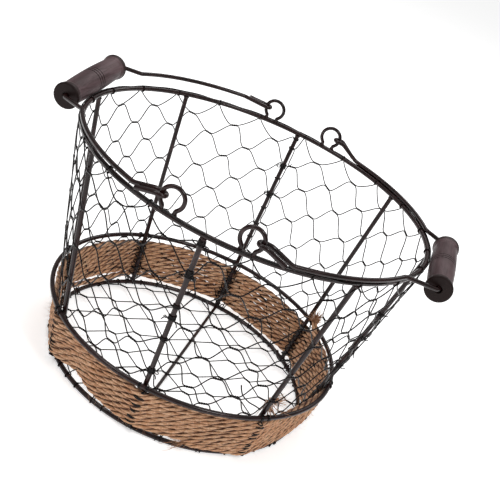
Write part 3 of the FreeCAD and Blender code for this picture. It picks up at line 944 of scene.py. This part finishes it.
def weld_bead(vertices, faces, centre, axis, radius, height, rng):
    """Adds a small uneven collar of weld metal round a wire end."""
    rotation = Vector(axis).normalized().to_track_quat("Z", "Y").to_matrix().to_4x4()
    place = Matrix.Translation(Vector(centre)) @ rotation
    base = len(vertices)
    for ring in range(BEAD_RINGS):
        share = ring / (BEAD_RINGS - 1)
        bulge = radius * (1 - 0.32 * share ** 1.5)
        z = (share - 0.35) * height
        for side in range(BEAD_SIDES):
            angle = FULL_TURN * side / BEAD_SIDES
            r = bulge * (1 + 0.06 * rng.normal())
            vertices.append(place @ Vector((r * math.cos(angle), r * math.sin(angle), z)))
    for ring in range(BEAD_RINGS - 1):
        for side in range(BEAD_SIDES):
            a = base + ring * BEAD_SIDES + side
            b = base + ring * BEAD_SIDES + (side + 1) % BEAD_SIDES
            faces.append((a, b, b + BEAD_SIDES, a + BEAD_SIDES))
    last = base + (BEAD_RINGS - 1) * BEAD_SIDES
    faces.append([base + side for side in range(BEAD_SIDES - 1, -1, -1)])
    faces.append([last + side for side in range(BEAD_SIDES)])


def weld_beads():
    """Weld beads where the posts meet the rim and bottom ring, and at the eyelets' feet."""
    rng = np.random.default_rng(77)
    vertices = []
    faces = []
    slope = (RIM_R - FOOT_R) / (RIM_Z - FOOT_Z)
    for post in range(POSTS):
        outward, _ = post_axes(post)
        up = outward * slope + np.array([0, 0, 1.0])
        for z, axis in ((RIM_Z - 2.6 * MM, -up), (FOOT_Z + 2.5 * MM, up)):
            centre = outward * post_radius(z) + [0, 0, z]
            weld_bead(vertices, faces, centre, axis, BEAD_R, BEAD_HEIGHT, rng)
    for end in ("front", "back"):
        for side in ("left", "right"):
            low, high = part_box("eyelet_%s_%s" % (end, side))
            y = (low[1] + high[1]) / 2
            for x in (-EYELET_FOOT, EYELET_FOOT):
                centre = ((low[0] + high[0]) / 2 + x, y, RIM_Z + 1.9 * MM)
                weld_bead(vertices, faces, centre, (0, 0, 1), 2.3 * MM, 2.2 * MM, rng)
    mesh = bpy.data.meshes.new("weld_beads")
    mesh.from_pydata(vertices, [], faces)
    mesh.polygons.foreach_set("use_smooth", [True] * len(faces))
    piece = placed("weld_beads", mesh, FRAME_PAINT, "basket")
    rounding = piece.modifiers.new("rounding", "SUBSURF")
    rounding.levels = rounding.render_levels = 1
    return piece


# ---- studio -------------------------------------------------------------------------------

CAMERA_AT = (0.0791, -0.6778, 0.4437)
CAMERA_AIM = (0.0202, -0.0270, 0.1413)
CAMERA_ROLL = math.radians(24.75)
CAMERA_LENS = 64.8               # millimetres, as Blender counts lenses and sensors
CAMERA_SENSOR = 36.0
FLOOR_HALF = 14.0
FLOOR_GLOW = 0.5                 # the white table is lit from below as well
SKY_LOW = 0.05                   # the studio's soft box is dim at its sides, bright overhead
SKY_GAIN = 0.58


def camera():
    """The camera, looking down at the basket and rolled to one side."""
    data = bpy.data.cameras.new("camera")
    data.lens = CAMERA_LENS
    data.sensor_width = CAMERA_SENSOR
    view = bpy.data.objects.new("camera", data)
    direction = Vector(CAMERA_AIM) - Vector(CAMERA_AT)
    turn = direction.to_track_quat("-Z", "Y").to_matrix() @ Matrix.Rotation(CAMERA_ROLL, 3, "Z")
    view.matrix_world = Matrix.Translation(CAMERA_AT) @ turn.to_4x4()
    bpy.context.scene.collection.objects.link(view)
    bpy.context.scene.camera = view


def area_light(name, at, aim, size, power):
    """A soft box: where it is, where it points, its width and height, and its watts."""
    data = bpy.data.lights.new(name, "AREA")
    data.shape = "RECTANGLE"
    data.size, data.size_y = size
    data.energy = power
    lamp = bpy.data.objects.new(name, data)
    lamp.location = at
    lamp.rotation_euler = (Vector(aim) - Vector(at)).to_track_quat("-Z", "Y").to_euler()
    bpy.context.scene.collection.objects.link(lamp)


def floor():
    """Plain white paper under the basket."""
    mesh = bpy.data.meshes.new("floor")
    corners = [(x * FLOOR_HALF, y * FLOOR_HALF, 0) for x, y in ((-1, -1), (1, -1), (1, 1), (-1, 1))]
    mesh.from_pydata(corners, [], [(0, 1, 2, 3)])
    sheet = bpy.data.objects.new("floor", mesh)
    n = Nodes("floor_paper")
    paper = n.ramp(n.noise(n.source, 3.0), (0.0, 0.94), (1.0, 0.96))
    n.shader.inputs["Emission Color"].default_value = (1.0, 1.0, 1.0, 1)
    n.shader.inputs["Emission Strength"].default_value = FLOOR_GLOW
    mesh.materials.append(n.finish(paper, 0.9, specular=0.1))
    bpy.context.scene.collection.objects.link(sheet)


def sky():
    """White light from all round, dim near the horizon and bright overhead."""
    world = bpy.data.worlds.new("studio")
    world.use_nodes = True
    nodes = world.node_tree.nodes
    links = world.node_tree.links
    direction = nodes.new("ShaderNodeTexCoord")
    height = nodes.new("ShaderNodeSeparateXYZ")
    level = nodes.new("ShaderNodeMath")
    level.operation = "MULTIPLY_ADD"
    level.inputs[1].default_value = SKY_GAIN
    level.inputs[2].default_value = SKY_LOW
    links.new(direction.outputs["Generated"], height.inputs[0])
    links.new(height.outputs["Z"], level.inputs[0])
    links.new(level.outputs[0], nodes["Background"].inputs["Strength"])
    nodes["Background"].inputs["Color"].default_value = (1.0, 1.0, 1.0, 1)
    bpy.context.scene.world = world


def lamps():
    area_light("overhead", (-0.4, 0.5, 1.7), (0, 0, 0.1), (0.9, 0.25), 4.5)
    area_light("behind", (0.2, 1.3, 1.2), (0.2, 1.3, 0), (1.4, 0.5), 7.0)
    area_light("front_left", (-0.9, -0.9, 1.6), (0, 0, 0.1), (0.35, 0.5), 5.0)
    area_light("front_right", (0.95, -0.8, 1.5), (0, 0, 0.1), (0.35, 0.5), 9.0)


# ---- the whole scene ----------------------------------------------------------------------

camera()
floor()
sky()
lamps()
paint_cad_nodes()
netting_half("netting_wires_left", "netting_left", math.pi / 2, math.radians(-1.0), 11)
netting_half("netting_wires_right", "netting_right", -math.pi / 2, math.radians(-3.0), 12)
floor_netting()
rope_rng = np.random.default_rng(7)
rope_path = rope_tail(rope_settled(rope_line(), rope_rng))
jute_cord(rope_path)
jute_fuzz(rope_path, rope_rng)
frayed_end("jute_fray_start", rope_path[0], rope_path[0] - rope_path[3], rope_rng,
           count=46, length=15 * MM, spread=0.35, hair=0.24 * MM)
frayed_end("jute_fray_end", rope_path[-1], rope_path[-1] - rope_path[-3], rope_rng,
           count=190, length=11 * MM, spread=0.36, hair=0.28 * MM)
round_basket = post_axes(FRAYED_POST)[1]
frayed_end("jute_tuft", beside_post(FRAYED_POST, 2.5 * MM, -3.0 * MM, 62 * MM),
           round_basket + [0, 0, 0.15], rope_rng,
           count=110, length=11 * MM, spread=0.24, hair=0.34 * MM)
frayed_end("jute_strands", beside_post(FRAYED_POST, 2.0 * MM, -3.5 * MM, 61 * MM),
           round_basket * 0.5 - [0, 0, 1.0], rope_rng,
           count=60, length=15 * MM, spread=0.22, hair=0.3 * MM)
for index in range(POSTS):
    lashing(index)
seam_knots("back", 2, "seam_ties_back")
seam_knots("front", 6, "seam_ties_front")
side_ties()
weld_beads()
bpy.context.scene.view_settings.view_transform = "Standard"
bpy.context.view_layer.update()
